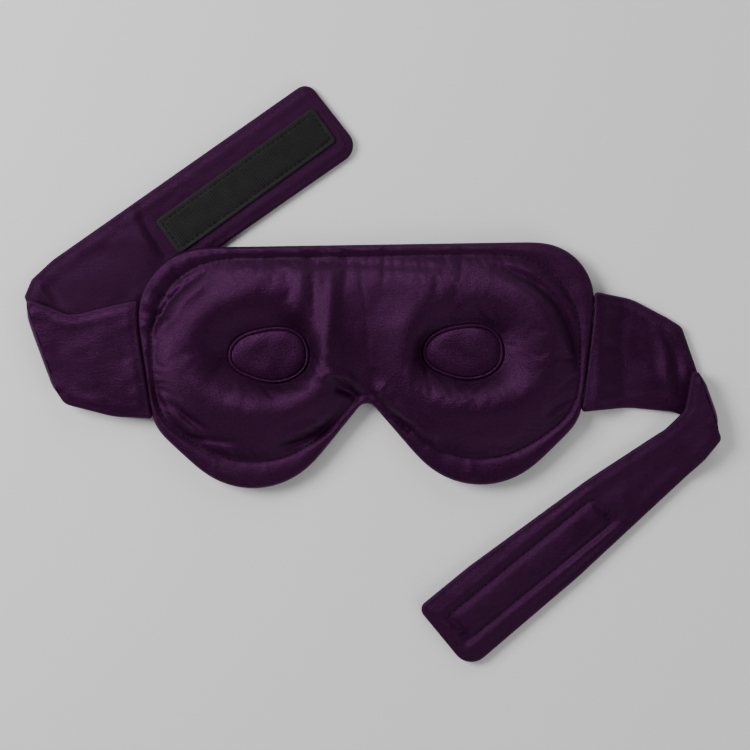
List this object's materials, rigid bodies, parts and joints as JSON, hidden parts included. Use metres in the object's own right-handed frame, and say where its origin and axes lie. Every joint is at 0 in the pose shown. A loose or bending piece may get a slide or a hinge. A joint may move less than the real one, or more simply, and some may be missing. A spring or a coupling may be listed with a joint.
{
  "type": "sleep eye mask",
  "caption": "Padded satin sleep mask with dished eye cups, a nose notch and two folding side straps that close with hook and loop tape.",
  "frame": {"origin": "middle of the flat outer side, under the nose bridge, on the face it rests on", "axes": "+X across the eyes to the strap that carries the hook tape, +Y to the forehead edge, +Z towards the face"},
  "size_m": [0.3256, 0.2716, 0.0174],
  "materials": {
    "satin": "dark purple satin weave with a soft sheen",
    "batting": "soft polyester wadding",
    "foam": "soft dark foam",
    "closure_tape": "black hook and loop tape, ribbed pile",
    "thread": "polyester sewing thread",
    "piping": "satin covered cord"
  },
  "bodies": {
    "mask": {"outer_panel": "satin", "core_pad": "foam", "face_panel": "satin", "left_ring_pad": "foam", "right_ring_pad": "foam", "left_eye_insert": "satin", "right_eye_insert": "satin", "left_eye_piping": "piping", "right_eye_piping": "piping", "panel_stitching": "thread"},
    "left_wing": {"left_wing_outer_cover": "satin", "left_wing_batting": "batting", "left_wing_inner_cover": "satin"},
    "left_tail": {"left_tail_inner_cover": "satin", "left_tail_batting": "batting", "left_tail_outer_cover": "satin", "loop_tape": "closure_tape", "loop_tape_stitching": "thread"},
    "right_wing": {"right_wing_outer_cover": "satin", "right_wing_batting": "batting", "right_wing_inner_cover": "satin"},
    "right_tail": {"right_tail_inner_cover": "satin", "right_tail_batting": "batting", "right_tail_outer_cover": "satin", "hook_tape": "closure_tape", "hook_tape_stitching": "thread"}
  },
  "joints": [
    {"name": "left_side_bend", "type": "hinge", "parent": "mask", "child": "left_wing", "pos_m": [-0.10442, 0.00225, 0.0086], "axis": [-0.1356, 0.9908, 0], "range_deg": [0, 100]},
    {"name": "left_fold", "type": "hinge", "parent": "left_wing", "child": "left_tail", "pos_m": [-0.15117, 0.007, 0.0043], "axis": [-0.3274, 0.9449, 0], "range_deg": [0, 180]},
    {"name": "right_side_bend", "type": "hinge", "parent": "mask", "child": "right_wing", "pos_m": [0.10442, 0.00225, 0.0086], "axis": [-0.1356, -0.9908, 0], "range_deg": [0, 100]},
    {"name": "right_fold", "type": "hinge", "parent": "right_wing", "child": "right_tail", "pos_m": [0.15717, -0.01325, 0.0043], "axis": [-0.3135, 0.9496, 0], "range_deg": [0, 180]}
  ]
}
